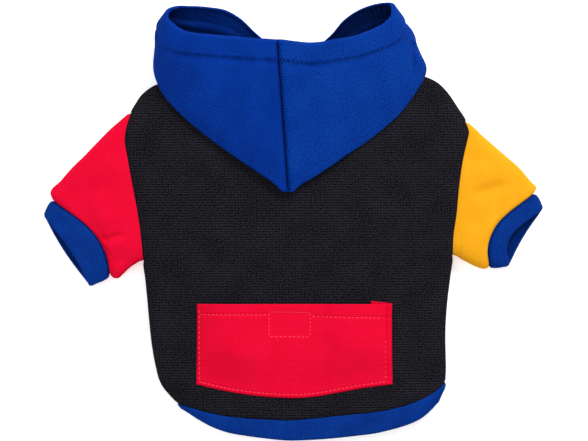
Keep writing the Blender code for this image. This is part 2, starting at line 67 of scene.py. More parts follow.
def new_material(name):
    """A material, its nodes and its shader."""
    material = bpy.data.materials.new(name)
    material.use_nodes = True
    return material, material.node_tree, material.node_tree.nodes["Principled BSDF"]


WHITE = (1, 1, 1, 1)
bpy.ops.mesh.primitive_plane_add(size=6)
floor = bpy.context.object
floor.name = "floor"
floor_white, _, floor_shader = new_material("floor_white")
set_inputs(floor_shader, {"Base Color": (0.95, 0.95, 0.95, 1), "Roughness": 0.9, "Specular IOR Level": 0.1})
set_inputs(floor_shader, {"Emission Color": WHITE, "Emission Strength": 0.45})
floor.data.materials.append(floor_white)
print("floor laid")

# %% Set up the camera
VIEW_WIDTH = 0.431
CAMERA_HEIGHT = 2.6
CLOTH_HEIGHT = 0.02
bpy.ops.object.camera_add(location=(0.0003, 0.0010, CAMERA_HEIGHT))
camera = bpy.context.object
camera.data.lens = camera.data.sensor_width * (CAMERA_HEIGHT - CLOTH_HEIGHT) / VIEW_WIDTH
camera.data.clip_end = 20
bpy.context.scene.camera = camera
print("lens", round(camera.data.lens), "mm")

# %% Hang the lights
LIGHTS = (
    # name, place, size, watts
    ("key_light", (0.9, 1.5, 1.6), 1.0, 42),
    ("fill_light", (-1.4, -0.2, 1.9), 1.6, 10),
    ("top_light", (0.0, 0.2, 3.4), 2.0, 24),
)
for name, place, size, watts in LIGHTS:
    bpy.ops.object.light_add(type="AREA", location=place)
    lamp = bpy.context.object
    lamp.name = name
    lamp.data.size = size
    lamp.data.energy = watts
    lamp.rotation_euler = Vector(place).to_track_quat("Z", "Y").to_euler()
world = bpy.data.worlds.new("soft_white")
world.use_nodes = True
set_inputs(world.node_tree.nodes["Background"], {"Color": WHITE, "Strength": 0.5})
bpy.context.scene.world = world
bpy.context.scene.view_settings.view_transform = "Standard"
print("lights:", len(LIGHTS))

# %% [markdown]
# ## The sizes of the garment
#
# A pattern cutter writes down a few lengths first: body width, armhole, side seam, hood depth. The tables
# after them hold what a ruler finds along each edge of the garment as it lies, as shares of those lengths.

# %% Write down the lengths, in metres
FLEECE, JERSEY, RIB, POCKET_CLOTH = 0.0020, 0.0016, 0.0020, 0.0012
BODY_WIDTH, BODY_RISE, SIDE_SEAM_RISE = 0.222, 0.026, 0.011
SHOULDER_DROP, ARMHOLE_LENGTH, SIDE_SEAM_LENGTH = 0.0245, 0.1095, 0.1045
HEM_DROP, BELLY_HEM_LIFT = 0.0187, 0.009
NAPE_SCOOP, THROAT_SCOOP, LIE_SKEW = 0.015, 0.022, 0.010
HEM_BAND_LENGTH, HEM_BAND_SQUEEZE = 0.0147, 0.050
BELLY_TURN_UP, EDGE_LIP, EDGE_FADE = 0.016, 0.0012, 0.007
ARMHOLE_RISE, SLEEVE_REACH = 0.0160, 0.058
CUFF_LENGTH, CUFF_RISE, CUFF_LIFT = 0.015, 0.0160, 0.0080
HOOD_WIDTH, HOOD_LENGTH, HOOD_RISE, HOOD_HEM = 0.200, 0.0850, 0.048, 0.0150
NECK_ROLL, HOOD_REST_GAP, SEAM_LIP = 0.0012, 0.0010, 0.0014
POCKET_WIDTH, POCKET_LENGTH, POCKET_CURVE = 0.1440, 0.0590, 0.0100
POCKET_PUFF, POCKET_FROM_NECK, POCKET_SHIFT = 0.0078, 0.1650, -0.0014
FASTENER_WIDTH, FASTENER_LENGTH, FASTENER_THICKNESS = 0.0300, 0.0190, 0.0024
FASTENER_FROM_EDGE, FASTENER_MARGIN, REST_GAP = 0.0050, 0.0040, 0.0005
TAB_WIDTH, TAB_STANDS_OUT = 0.0160, 0.0022
GARMENT_PLACE = np.array((0.0020, 0.1050, 0.0))
# Shares: a sleeve's lower bow, and how much flatter the pocket's bottom is on the right
LOWER_BOW, POCKET_RIGHT_RISE = 0.4, 0.55
LEFT, RIGHT = -1, 1
print("body", BODY_WIDTH / MM, "mm wide")

# %% Write down the edges
# Station: 0 neck, 1 armhole top, 2 underarm, 3 hem corner.
BODY_EDGE = (
    # station, left_out, right_out, right_lift
    (0.00, 0.784, 0.757, 0.60),
    (0.18, 0.937, 0.919, 0.35),
    (0.35, 1.000, 0.991, 0.08),
    (0.65, 1.059, 1.045, 0.00),
    (1.00, 1.099, 1.126, -0.65),
    (1.11, 1.126, 1.142, -0.25),
    (1.20, 1.135, 1.126, -0.08),
    (1.30, 1.117, 1.105, 0.00),
    (1.50, 1.081, 1.076, 0.00),
    (1.70, 1.045, 1.057, 0.00),
    (1.88, 1.023, 1.036, 0.10),
    (2.00, 1.014, 1.036, 0.40),
    (2.27, 0.991, 1.009, 0.40),
    (2.56, 0.964, 0.991, 0.55),
    (2.77, 0.928, 0.993, 1.00),
    (2.90, 0.883, 0.995, 1.30),
    (3.00, 0.793, 0.991, 1.55),
)
HEM_CURVE = (
    # across, drop, band
    (0.00, 0.00, 0.30),
    (0.07, 0.26, 0.60),
    (0.16, 0.57, 0.82),
    (0.27, 0.78, 0.92),
    (0.45, 1.00, 1.02),
    (0.62, 0.96, 1.10),
    (0.74, 0.92, 1.10),
    (0.86, 0.75, 1.08),
    (0.94, 0.47, 1.08),
    (1.00, 0.00, 1.05),
)
SLEEVE_SECTIONS = {
    # outer_out, outer_down, under_out, under_down, bow, rise, lift
    LEFT: (
        (0.000, 0.000, 0.000, 0.000, 0.000, 1.00, 1.00),
        (0.035, 0.022, 0.035, 0.000, 0.000, 1.00, 1.00),
        (0.160, 0.125, 0.110, 0.040, 0.000, 1.08, 1.00),
        (0.330, 0.285, 0.190, 0.100, -0.010, 1.14, 0.98),
        (0.520, 0.480, 0.260, 0.165, -0.030, 1.16, 0.95),
        (0.720, 0.680, 0.320, 0.215, -0.080, 1.14, 0.90),
        (0.880, 0.860, 0.370, 0.215, -0.140, 1.05, 0.84),
        (1.018, 1.020, 0.400, 0.200, -0.190, 1.02, 0.77),
        (0.998, 1.100, 0.414, 0.190, -0.215, 1.00, 0.72),
    ),
    RIGHT: (
        (0.000, 0.000, 0.000, 0.000, 0.000, 1.00, 1.00),
        (0.035, 0.028, 0.035, 0.000, 0.000, 1.00, 1.00),
        (0.160, 0.140, 0.120, 0.050, 0.000, 1.08, 1.00),
        (0.340, 0.300, 0.210, 0.100, 0.000, 1.14, 0.98),
        (0.540, 0.470, 0.290, 0.140, -0.040, 1.16, 0.95),
        (0.710, 0.630, 0.360, 0.165, -0.100, 1.12, 0.90),
        (0.820, 0.760, 0.410, 0.165, -0.170, 1.05, 0.84),
        (0.892, 0.850, 0.440, 0.160, -0.225, 1.02, 0.77),
        (0.876, 0.900, 0.455, 0.155, -0.240, 1.00, 0.72),
    ),
}
CUFF_EDGE = {
    # outer_out, outer_down, under_out, under_down, upper_bow, lower_bow
    LEFT: (0.43, 0.80, 1.02, 0.52, -0.22, 0.16),
    RIGHT: (0.42, 0.80, 1.02, -0.08, -0.82, -0.12),
}
HOOD_LINES = {
    # neck, fold_across, fold_back, fold_up, edge_across, edge_back, edge_up, doubled
    LEFT: (
        (0.00, 0.060, 0.985, 0.68, 0.140, -0.325, 0.97, 1.0),
        (0.22, 0.300, 0.795, 0.66, 0.290, -0.335, 0.97, 1.0),
        (0.42, 0.500, 0.635, 0.62, 0.450, -0.350, 0.95, 1.0),
        (0.60, 0.720, 0.440, 0.56, 0.620, -0.368, 0.92, 1.0),
        (0.78, 0.930, 0.200, 0.50, 0.780, -0.390, 0.88, 1.0),
        (0.94, 1.045, -0.040, 0.46, 0.880, -0.450, 0.83, 0.8),
        (1.08, 1.035, -0.330, 0.46, 0.945, -0.540, 0.76, 0.4),
        (1.22, 0.995, -0.510, 0.42, 0.900, -0.615, 0.66, 0.1),
        (1.38, 0.800, -0.450, 0.24, 0.760, -0.630, 0.50, 0.0),
        (1.54, 0.580, -0.350, 0.10, 0.560, -0.610, 0.36, 0.0),
        (1.70, 0.390, -0.230, 0.03, 0.400, -0.520, 0.22, 0.0),
        (1.86, 0.200, -0.120, 0.00, 0.210, -0.310, 0.06, 0.0),
        (2.00, 0.010, -0.050, 0.00, 0.030, -0.220, 0.01, 0.0),
    ),
    RIGHT: (
        (0.00, -0.060, 0.985, 0.68, -0.140, -0.325, 0.97, 1.0),
        (0.22, 0.150, 0.835, 0.66, 0.120, -0.298, 0.97, 1.0),
        (0.42, 0.370, 0.660, 0.62, 0.270, -0.325, 0.95, 1.0),
        (0.60, 0.590, 0.480, 0.56, 0.400, -0.350, 0.92, 1.0),
        (0.78, 0.800, 0.240, 0.50, 0.530, -0.405, 0.89, 1.0),
        (0.94, 0.955, -0.085, 0.46, 0.640, -0.470, 0.85, 0.7),
        (1.08, 0.890, -0.270, 0.44, 0.695, -0.550, 0.80, 0.3),
        (1.22, 0.795, -0.510, 0.42, 0.700, -0.640, 0.70, 0.1),
        (1.38, 0.720, -0.470, 0.26, 0.620, -0.655, 0.54, 0.0),
        (1.54, 0.530, -0.350, 0.10, 0.480, -0.610, 0.38, 0.0),
        (1.70, 0.360, -0.230, 0.03, 0.335, -0.500, 0.22, 0.0),
        (1.86, 0.180, -0.120, 0.00, 0.190, -0.310, 0.06, 0.0),
        (2.00, -0.010, -0.050, 0.00, -0.030, -0.220, 0.01, 0.0),
    ),
}
print("hood lines:", len(HOOD_LINES[LEFT]), "and", len(HOOD_LINES[RIGHT]))

# %% [markdown]
# ## Reading the tables
#
# A tailor joins the marks with a curved ruler. Here a cubic curve does that: it passes through every row
# of a table and never swings past one, so a flat stretch stays flat.


# %% Read a value between the rows of a table
def mix(first, second, share):
    return first + (second - first) * share


def ease(share):
    share = max(0.0, min(1.0, share))
    return share * share * (3 - 2 * share)


def cubic(start, end, leave, arrive, t):
    """A smooth curve between two values. leave and arrive are its slopes there, times its whole length."""
    return (
        start * (1 + 2 * t) * (1 - t) ** 2
        + end * t * t * (3 - 2 * t)
        + leave * t * (1 - t) ** 2
        - arrive * t * t * (1 - t)
    )


def read_curve(table, column, at):
    stations = [row[0] for row in table]
    last = len(table) - 1
    i = max(0, min(last - 1, sum(1 for station in stations[1:] if station <= at)))
    x0, x1 = stations[i], stations[i + 1]
    y0, y1 = table[i][column], table[i + 1][column]
    span = x1 - x0
    slope = (y1 - y0) / span
    before = (y0 - table[i - 1][column]) / (x0 - stations[i - 1]) if i > 0 else slope
    after = (table[i + 2][column] - y1) / (stations[i + 2] - x1) if i + 2 <= last else slope
    m0 = 0.0 if before * slope <= 0 else 2 * before * slope / (before + slope)
    m1 = 0.0 if after * slope <= 0 else 2 * after * slope / (after + slope)
    return cubic(y0, y1, m0 * span, m1 * span, (at - x0) / span)


def pressed_flat(value):
    """Cosine or sine of a ring's angle, pressed towards a flat tube with round sides."""
    return math.copysign(abs(value) ** (2 / 3), value)


print("body edge at the underarm:", round(read_curve(BODY_EDGE, 1, 2.0), 3))

# %% [markdown]
# ## From a coarse net to fine cloth
#
# Real cloth has no corners, so each coarse net gets smooth curves through its points, first along its rows
# and then across them. A subdivision modifier could do it too, but then the cloth would have no measured
# lengths. The lengths matter: ribs, stitches and hems sit at real distances from an edge.


# %% Run smooth curves through a net
def curve_through(points, places):
    """Points on smooth curves through rows of points. Place 1.5 is halfway between rows 1 and 2."""
    gaps = np.linalg.norm(np.diff(points, axis=0), axis=-1, keepdims=True).clip(1e-7)
    slopes = np.diff(points, axis=0) / gaps
    inner = (slopes[:-1] * gaps[1:] + slopes[1:] * gaps[:-1]) / (gaps[:-1] + gaps[1:])
    tangents = np.concatenate([slopes[:1], inner, slopes[-1:]])
    i = np.minimum(places.astype(int), len(points) - 2)
    t = (places - i)[:, None, None]
    return cubic(points[i], points[i + 1], tangents[i] * gaps[i], tangents[i + 1] * gaps[i], t)


def even_places(points, count):
    """Places that lie evenly along the rows."""
    steps = np.linalg.norm(np.diff(points, axis=0), axis=-1).mean(axis=1)
    reached = np.concatenate([[0], np.cumsum(steps)])
    return np.interp(np.linspace(0, reached[-1], count), reached, np.arange(len(points)))


def fine_net(rows, row_count, column_count, closed=False):
    """A fine net of points. closed repeats the first column at the end."""
    net = np.array([[tuple(point) for point in row] for row in rows])
    net = curve_through(net, even_places(net, row_count))
    across = net.transpose(1, 0, 2)
    if closed:
        around = np.concatenate([across, across[:1]])
        places = even_places(around, column_count + 1)
        padded = np.concatenate([across[-3:], across, across[:4]])
        across = curve_through(padded, places + 3)
    else:
        across = curve_through(across, even_places(across, column_count))
    return across.transpose(1, 0, 2)


def reach(net, axis):
    """How far along its row or column each point lies, in metres."""
    steps = np.linalg.norm(np.diff(net, axis=axis), axis=-1)
    start = np.zeros_like(np.take(steps, [0], axis=axis))
    return np.concatenate([start, np.cumsum(steps, axis=axis)], axis=axis)


# Rows and columns of the fine nets
BODY_NET, HEM_NET, HOOD_NET = (165, 165), (17, 1500), (190, 192)
SLEEVE_NET, CUFF_NET, POCKET_NET = (80, 200), (22, 560), (130, 236)
print("curves ready")


# %% Find which way the cloth faces
def facing(net, closed=False, outward=1):
    """Unit normals of a net."""
    along = np.gradient(net, axis=0)
    across = np.gradient(net, axis=1)
    if closed:
        seam = (net[:, 1] - net[:, -2]) / 2
        across[:, 0] = seam
        across[:, -1] = seam
    normals = np.cross(across, along) * outward
    return normals / np.linalg.norm(normals, axis=-1, keepdims=True).clip(1e-12)


def bump(distance, width):
    """1 on a line and 0 away from it."""
    return np.exp(-((distance / width) ** 2))


def slope_up(distance, start, end):
    """0 before start, 1 past end, with a smooth rise between them."""
    share = np.clip((distance - start) / (end - start), 0, 1)
    return share * share * (3 - 2 * share)


def soft_noise(net, size, seed):
    """Smooth random values from -1 to 1 over a net, with hills about size apart."""
    flat = net.reshape(-1, 3) / size + seed * 17.3
    return np.array([noise.noise(Vector(point)) for point in flat]).reshape(net.shape[:2])


print("normals ready")


# %% Turn a net into a cloth object
def net_faces(rows, columns, closed=False):
    """The corners of the faces of a net. closed joins the last column to the first."""
    index = np.arange(rows * (columns - closed)).reshape(rows, -1)
    left = index[:, : columns - 1]
    right = np.roll(index, -1, axis=1)[:, : columns - 1]
    return np.stack([left[:-1], right[:-1], right[1:], left[1:]], axis=-1).reshape(-1, 4)


def cloth_from_net(name, net, thickness, flat, closed=False, outward=1):
    """Outer faces with a UV map in metres of flat cloth, then a wall that grows inwards."""
    rows, columns = net.shape[:2]
    faces = net_faces(rows, columns, closed)
    points = net[:, : columns - closed].reshape(-1, 3)
    lengths = np.stack([np.broadcast_to(size, (rows, columns)) for size in flat], axis=-1)
    corners = ((0, 0), (0, 1), (1, 1), (1, 0))
    quads = [lengths[i : rows - 1 + i, j : columns - 1 + j] for i, j in corners]
    uv = np.stack(quads, axis=2).reshape(-1, 4, 2)
    if outward < 0:
        faces, uv = faces[:, ::-1], uv[:, ::-1]
    mesh = bpy.data.meshes.new(name)
    mesh.from_pydata(points.tolist(), [], faces.tolist())
    mesh.uv_layers.new(name="cloth").data.foreach_set("uv", uv.ravel())
    mesh.shade_smooth()
    piece = bpy.data.objects.new(name, mesh)
    bpy.context.scene.collection.objects.link(piece)
    wall = piece.modifiers.new("wall", "SOLIDIFY")
    wall.thickness = thickness
    wall.offset = -1
    bpy.context.view_layer.objects.active = piece
    bpy.ops.object.modifier_apply(modifier="wall")
    # The inside attribute marks the wall's inner faces. The materials darken them as painted shade.
    inside = np.zeros(len(piece.data.vertices), dtype=np.float32)
    inside[len(points) :] = 1.0
    piece.data.attributes.new("inside", "FLOAT", "POINT").data.foreach_set("value", inside)
    print(name, len(piece.data.polygons), "faces,", *(round(np.ptp(size) / MM) for size in flat), "mm")
    return piece


# %% [markdown]
# ## The fleece body
#
# The back and the chest are one tube, cut in two at the side seams. They are drawn row by row from the
# neck to the hem. Beside the armholes the two sheets stand apart, because the sleeves hold them open.


# %% Follow the side of the body
def down_from_neck(station):
    lengths = (SHOULDER_DROP, ARMHOLE_LENGTH, SIDE_SEAM_LENGTH)
    whole = min(int(station), 2)
    return sum(lengths[:whole]) + lengths[whole] * (station - whole)


def edge_point(side, station):
    out = read_curve(BODY_EDGE, 1 if side == LEFT else 2, station) * BODY_WIDTH / 2
    lift = LIE_SKEW * read_curve(BODY_EDGE, 3, station) if side == RIGHT else 0.0
    return side * out, lift - down_from_neck(station)


ARM_RING = 24


def armhole_station(angle):
    return 1 + (1 - pressed_flat(math.cos(angle))) / 2


def body_stations():
    """The rows of the body, each with how far the armhole stands open there."""
    rows = [(i / 4, 0.0) for i in range(4)]
    half = ARM_RING // 2
    for i in range(half + 1):
        angle = math.pi * i / half
        opening = pressed_flat(math.sin(angle)) if 0 < i < half else 0.0
        rows.append((armhole_station(angle), opening))
    return rows + [(2 + (i + 1) / 7, 0.0) for i in range(7)]


print("body rows:", len(body_stations()))


# %% Draw one row of the body
def body_row(station, opening, upper):
    left, right = edge_point(LEFT, station), edge_point(RIGHT, station)
    down = station / 3
    near_neck, near_hem = (1 - down) ** 3, down**3
    pull = ease(station - 0.3) * ease(2.7 - station)
    way = 1 if upper else -1
    open_lip = min(1.0, opening * 1.5)
    edge_z = SIDE_SEAM_RISE + way * opening * ARMHOLE_RISE / 2
    lip_in, lip_z = EDGE_LIP * open_lip, edge_z + way * EDGE_LIP * (1 - open_lip)
    broad_z = SIDE_SEAM_RISE + way * (EDGE_LIP + pull * ARMHOLE_RISE * 0.4)
    top_z = BODY_RISE * (1 - 0.05 * (1 - math.sin(math.pi * down)) - 0.06 * near_hem)
    inner_left, inner_right = left[0] + lip_in, right[0] - lip_in
    row = [Vector((left[0], left[1], edge_z))]
    for j in range(19):
        u = j / 18
        across = mix((1 - math.cos(math.pi * u)) / 2, u, pull * 0.8)
        x, y = mix(inner_left, inner_right, across), mix(left[1], right[1], across)
        bow = math.sin(math.pi * across)
        from_edge = max(0.0, min(x - inner_left, inner_right - x))
        if upper:
            y -= NAPE_SCOOP * bow * near_neck + HEM_DROP * read_curve(HEM_CURVE, 1, across) * near_hem
            round_share = 4 * across * (1 - across)
            z = mix(broad_z, top_z, round_share ** mix(0.42, 0.7, pull))
            z += (lip_z - broad_z) * math.exp(-from_edge / EDGE_FADE)
        else:
            y += BELLY_HEM_LIFT * bow * near_hem - THROAT_SCOOP * bow * near_neck
            left_over = 1 - min(1.0, from_edge / BELLY_TURN_UP)
            z = lip_z * mix(1 - math.sqrt(1 - left_over**2), left_over**2, pull)
        row.append(Vector((x, y, z)))
    row.append(Vector((right[0], right[1], edge_z)))
    return row


back = [body_row(station, opening, True) for station, opening in body_stations()]
chest = [body_row(station, opening, False) for station, opening in body_stations()]


# The back is a surface that other pieces can be laid on.
back_faces = net_faces(len(back), len(back[0])).tolist()
back_surface = BVHTree.FromPolygons([point for row in back for point in row], back_faces)


def back_height(x, y, otherwise=0.0):
    hit = back_surface.ray_cast(Vector((x, y, 1)), Vector((0, 0, -1)))
    return hit[0].z if hit[0] is not None else otherwise


print("back height at the pocket:", round(back_height(0, -0.19) / MM, 1), "mm")

# %% [markdown]
# Sewn edges dip where the thread pulls them in, and cloth that was folded in a bag keeps shallow waves.
# Both are small moves along the normals of the fine net.


# %% Make the back and the chest
def place(net):
    return net + GARMENT_PLACE


def move_out(net, normals, offset):
    """The net moved along its normals, but nowhere below the floor."""
    net = net + normals * offset[..., None]
    net[..., 2] = np.maximum(net[..., 2], 0.0)
    return net


def seam_dip(distance, depth=0.7 * MM, width=1.6 * MM):
    return -depth * bump(distance, width)


def make_body_sheet(name, rows, side):
    net = fine_net(rows, *BODY_NET)
    u, v = reach(net, 1), reach(net, 0)
    from_side, from_hem = np.minimum(u, u[:, -1:] - u), v[-1:] - v
    offset = seam_dip(from_side) + seam_dip(from_hem)
    inside = slope_up(from_side, 2 * MM, 12 * MM)
    if side > 0:
        offset += 0.7 * MM * soft_noise(net, 0.045, 1) * inside
        offset += 0.35 * MM * soft_noise(net, 0.016, 2) * inside * bump(from_hem, 22 * MM)
        offset += 0.3 * MM * soft_noise(net, 0.012, 3) * inside * bump(from_side, 12 * MM)
    net = place(move_out(net, facing(net, outward=-side), offset))
    return cloth_from_net(name, net, FLEECE, (net[..., 0], -net[..., 1]), outward=-side)


back_piece = make_body_sheet("back_panel_cloth", back, 1)
chest_piece = make_body_sheet("chest_panel_cloth", chest, -1)

# %% [markdown]
# ## The rib band round the hem
#
# Rib knit has upright cords of stitches with valleys between them, which let it stretch. The cords are
# real geometry here: the fine net goes in and out along its length, about five points to a cord.


# %% Make the hem band
RIB_PITCH = 1.6 * MM


def rib_wave(u):
    """Rounded cords with narrow valleys between them, from 0 to 1."""
    return np.abs(np.cos(math.pi * u / RIB_PITCH)) ** 0.7


def rib_cloth(u):
    """Lengths along the cloth, stretched a little so that a whole number of cords fits."""
    count = round(u[-1] / RIB_PITCH)
    return u * (count * RIB_PITCH / u[-1])


def make_rib(name, rings, size, outward, relief, fade, roll, dip):
    """A tube of rib. dip says where its seam pulls it in, how deep and how wide."""
    net = fine_net(rings, *size, closed=True)
    u, v = rib_cloth(reach(net, 1).mean(axis=0)), reach(net, 0)
    from_end = v[-1:] - v
    offset = (rib_wave(u) - 0.6) * relief * slope_up(np.minimum(v, from_end), 0.2 * MM, fade)
    offset += seam_dip(v - dip[0], *dip[1:]) + 0.5 * MM * bump(v - 8 * MM, roll)
    offset -= 1.0 * MM * (1 - slope_up(from_end, 0, 1.5 * MM))
    net = place(move_out(net, facing(net, closed=True, outward=outward), offset))
    return cloth_from_net(name, net, RIB, (u, v), closed=True, outward=outward)


def hem_rings():
    ring = back[-1] + chest[-1][::-1]
    left, right = back[-1][0].x, back[-1][-1].x
    rings = []
    for share in (-0.07, 0.0, 0.08, 0.5, 1.0):
        row = []
        for point in ring:
            across = (point.x - left) / (right - left)
            width = HEM_BAND_LENGTH * read_curve(HEM_CURVE, 2, across)
            x = point.x * (1 - HEM_BAND_SQUEEZE * ease(share))
            row.append(Vector((x, point.y - width * share, point.z)))
        rings.append(row)
    return rings


hem_dip = (0.0, 1.3 * MM, 1.8 * MM)
hem_piece = make_rib(
    "hem_band_rib", hem_rings(), HEM_NET, -1, relief=0.4 * MM, fade=1.6 * MM, roll=5 * MM, dip=hem_dip
)

# %% [markdown]
# ## Sleeves and cuffs
#
# A short sleeve is a tube that is wide at the armhole and narrow at the cuff. It lies flattened, so each
# ring of it is a flat oval. The cuff carries the same ring on, in rib. Its mouth stays open, because rib
# is springy.


# %% Lay the rings of a sleeve and its cuff
RING_ANGLES = [2 * math.pi * j / ARM_RING for j in range(ARM_RING)]


def sleeve_roots(side, straight):
    """Where a ring starts from: straight 0 follows the armhole, 1 joins its ends by a straight line."""
    ends = list(zip(edge_point(side, 1.0), edge_point(side, 2.0)))
    roots = []
    for station in map(armhole_station, RING_ANGLES):
        spot = edge_point(side, station)
        roots.append([mix(value, mix(*end, station - 1), straight) for value, end in zip(spot, ends)])
    return roots


def make_ring(side, roots, section, bows, centre_z, rise):
    outer_out, outer_down, under_out, under_down = section
    ring = []
    for (x, y), angle in zip(roots, RING_ANGLES):
        to_under = (1 - pressed_flat(math.cos(angle))) / 2
        height = pressed_flat(math.sin(angle))
        out, down = mix(outer_out, under_out, to_under), mix(outer_down, under_down, to_under)
        bow = bows[0] if height > 0 else bows[1]
        x += side * (out + bow * abs(height) * math.sin(math.pi * to_under))
        ring.append(Vector((x, y - down, centre_z + height * rise / 2)))
    return ring


def sleeve_rings(side):
    """The rings of a sleeve, and those of its cuff, which goes on from the last one."""
    rings, cuff = [], []
    for outer_out, outer_down, under_out, under_down, bow, rise, lift in SLEEVE_SECTIONS[side]:
        section = [share * SLEEVE_REACH for share in (outer_out, outer_down, under_out, under_down)]
        bows = (bow * SLEEVE_REACH, bow * SLEEVE_REACH * LOWER_BOW)
        height = ARMHOLE_RISE * rise
        centre = max(SIDE_SEAM_RISE * lift, height / 2)
        roots = sleeve_roots(side, ease(outer_out / SLEEVE_SECTIONS[side][-1][0]))
        rings.append(make_ring(side, roots, section, bows, centre, height))
    edge = [share * CUFF_LENGTH for share in CUFF_EDGE[side]]
    end = [first + further for first, further in zip(section, edge)]
    for share in (-0.10, 0, 1 / 3, 2 / 3, 1):
        cuff_section = [mix(a, b, share) for a, b in zip(section, end)]
        cuff_bows = [mix(a, b, share) for a, b in zip(bows, edge[4:])]
        cuff.append(make_ring(side, roots, cuff_section, cuff_bows, CUFF_LIFT, CUFF_RISE))
    return rings, cuff


print("rings in a sleeve:", len(sleeve_rings(LEFT)[0]))

# %% [markdown]
# Soft folds run across the sleeves where an arm would bend. Each is a row in a table: where it starts and
# ends, how wide it is, and how deep. A minus sign makes it a ridge.


# %% Press folds into a net
def fold_offset(net, normals, folds):
    """Folds where the cloth faces up, from a table of x0, y0, x1, y1, width, depth, all in millimetres."""
    offset = np.zeros(net.shape[:2])
    faces_up = slope_up(normals[..., 2], -0.4, 0.2)
    for x0, y0, x1, y1, width, depth in folds:
        start, end = np.array([x0, y0]) * MM, np.array([x1, y1]) * MM
        line = end - start
        length = np.linalg.norm(line)
        away = net[..., :2] - start
        along = (away @ line) / length
        aside = (away[..., 0] * line[1] - away[..., 1] * line[0]) / length
        ends = slope_up(np.minimum(along, length - along), -3 * MM, length * 0.35)
        offset -= depth * MM * bump(aside, width * MM) * ends * faces_up
    return offset


SLEEVE_FOLDS = {
    LEFT: (
        # x0, y0, x1, y1, width, depth
        (-143.8, -15, -123.8, -9, 2.4, 2.2),
        (-142.8, -20, -120.8, -15, 4.0, -0.9),
        (-166.8, 20, -122.8, 28, 8.0, 1.3),
        (-150.8, -2, -126.8, 6, 6.0, -0.7),
        (-140.8, -32, -118.8, -26, 4.0, 0.8),
    ),
    RIGHT: (
        (130.2, 20, 159.2, 28, 4.5, 2.0),
        (138.2, -12, 172.2, 18, 5.0, -1.3),
        (123.2, 46, 149.2, 44, 5.0, 0.8),
        (125.2, 2, 145.2, -4, 6.0, 0.8),
        (123.2, -30, 139.2, -36, 4.0, 0.6),
    ),
}
print("folds:", sum(len(rows) for rows in SLEEVE_FOLDS.values()))


# %% Make the sleeves and the cuffs
def make_sleeve(side, name):
    net = place(fine_net(sleeve_rings(side)[0], *SLEEVE_NET, closed=True))
    u, v = reach(net, 1).mean(axis=0), reach(net, 0)
    from_cuff = v[-1:] - v
    normals = facing(net, closed=True, outward=side)
    offset = seam_dip(v) + seam_dip(from_cuff, 0.4 * MM)
    offset += fold_offset(net, normals, SLEEVE_FOLDS[side]) * slope_up(from_cuff, 1 * MM, 8 * MM)
    offset += 0.35 * MM * soft_noise(net, 0.014, 5) * slope_up(np.minimum(v, from_cuff), 2 * MM, 6 * MM)
    net = move_out(net, normals, offset)
    return cloth_from_net(name, net, JERSEY, (u, v), closed=True, outward=side)


def make_cuff(side, name):
    dip = (1.2 * MM, 2.5 * MM, 1.5 * MM)
    rings = sleeve_rings(side)[1]
    return make_rib(name, rings, CUFF_NET, side, relief=0.2 * MM, fade=1.5 * MM, roll=4 * MM, dip=dip)


sleeve_left = make_sleeve(LEFT, "sleeve_left_cloth")
sleeve_right = make_sleeve(RIGHT, "sleeve_right_cloth")
cuff_left = make_cuff(LEFT, "cuff_left_rib")
cuff_right = make_cuff(RIGHT, "cuff_right_rib")

# %% [markdown]
# ## The hood
#
# The hood is two halves, sewn together over the head. Folded down, its cloth runs back along the body from
# the neck seam, turns over, and comes forward again to the face opening. Its sides roll round into two
# open tubes. Each line of the net is one thread of cloth from the neck seam to the face opening.


# %% Lay one thread of the hood
def neck_point(side, at):
    row = back[0] if at <= 1 else chest[0]
    share = at if at <= 1 else 2 - at
    spot = (1 + side * share) / 2 * (len(row) - 1)
    j = min(int(spot), len(row) - 2)
    return row[j].lerp(row[j + 1], spot - j)


def hood_thread(side, at):
    values = [read_curve(HOOD_LINES[side], column, at) for column in range(1, 8)]
    fold_across, fold_back, fold_up, edge_across, edge_back, edge_up, doubled = values
    half = HOOD_WIDTH / 2
    start = neck_point(side, at)
    fold = Vector((side * fold_across * half, -fold_back * HOOD_LENGTH, fold_up * HOOD_RISE))
    edge = Vector((side * edge_across * half, -edge_back * HOOD_LENGTH, edge_up * HOOD_RISE))
    turn = start + Vector((0, NECK_ROLL, NECK_ROLL * 0.4 * doubled))
    rolled = Vector((0, -NECK_ROLL * 0.4, NECK_ROLL))
    low = turn + Vector((0, NECK_ROLL, 0)).lerp(rolled, doubled)
    points = [start, turn, low]
    for q in (0.02, 0.09, 0.28, 0.60):
        along = math.sin(q * math.pi / 2) ** 0.42
        bent = Vector(map(mix, low, fold, (along, along, q**4)))
        point = low.lerp(fold, q).lerp(bent, doubled)
        if doubled > 0.3:
            bare = point.z - HOOD_REST_GAP
            spots = (point.x - 2 * MM, point.x, point.x + 2 * MM)
            rest = max(back_height(x, point.y, bare) for x in spots) + HOOD_REST_GAP
            point.z = max(rest, mix(point.z, rest, doubled * (1 - q**4)))
        points.append(point)
    if doubled > 0.3:
        fold.z = max(fold.z, back_height(fold.x, fold.y) + HOOD_REST_GAP + JERSEY)
    points.append(fold)
    crown_end = 1 - HOOD_HEM / max((edge - fold).length, 2 * HOOD_HEM)
    hem_shares = [mix(crown_end, 1, share) for share in (0.08, 0.55, 1.0)]
    for q in [((i + 1) / 6) ** 1.4 * crown_end for i in range(6)] + hem_shares:
        rise = math.sin(q * math.pi / 2) ** 0.8
        bent = Vector(map(mix, fold, edge, (q, q, rise)))
        points.append(fold.lerp(edge, q).lerp(bent, doubled))
    return points


print("points on a thread:", len(hood_thread(LEFT, 0.5)))

# %% [markdown]
# The face opening has a hem: the cloth is turned in and stitched down 15 mm from the edge. The hem stands
# a little proud, with a valley under it where the thread pulls. The centre seam is a narrow groove.


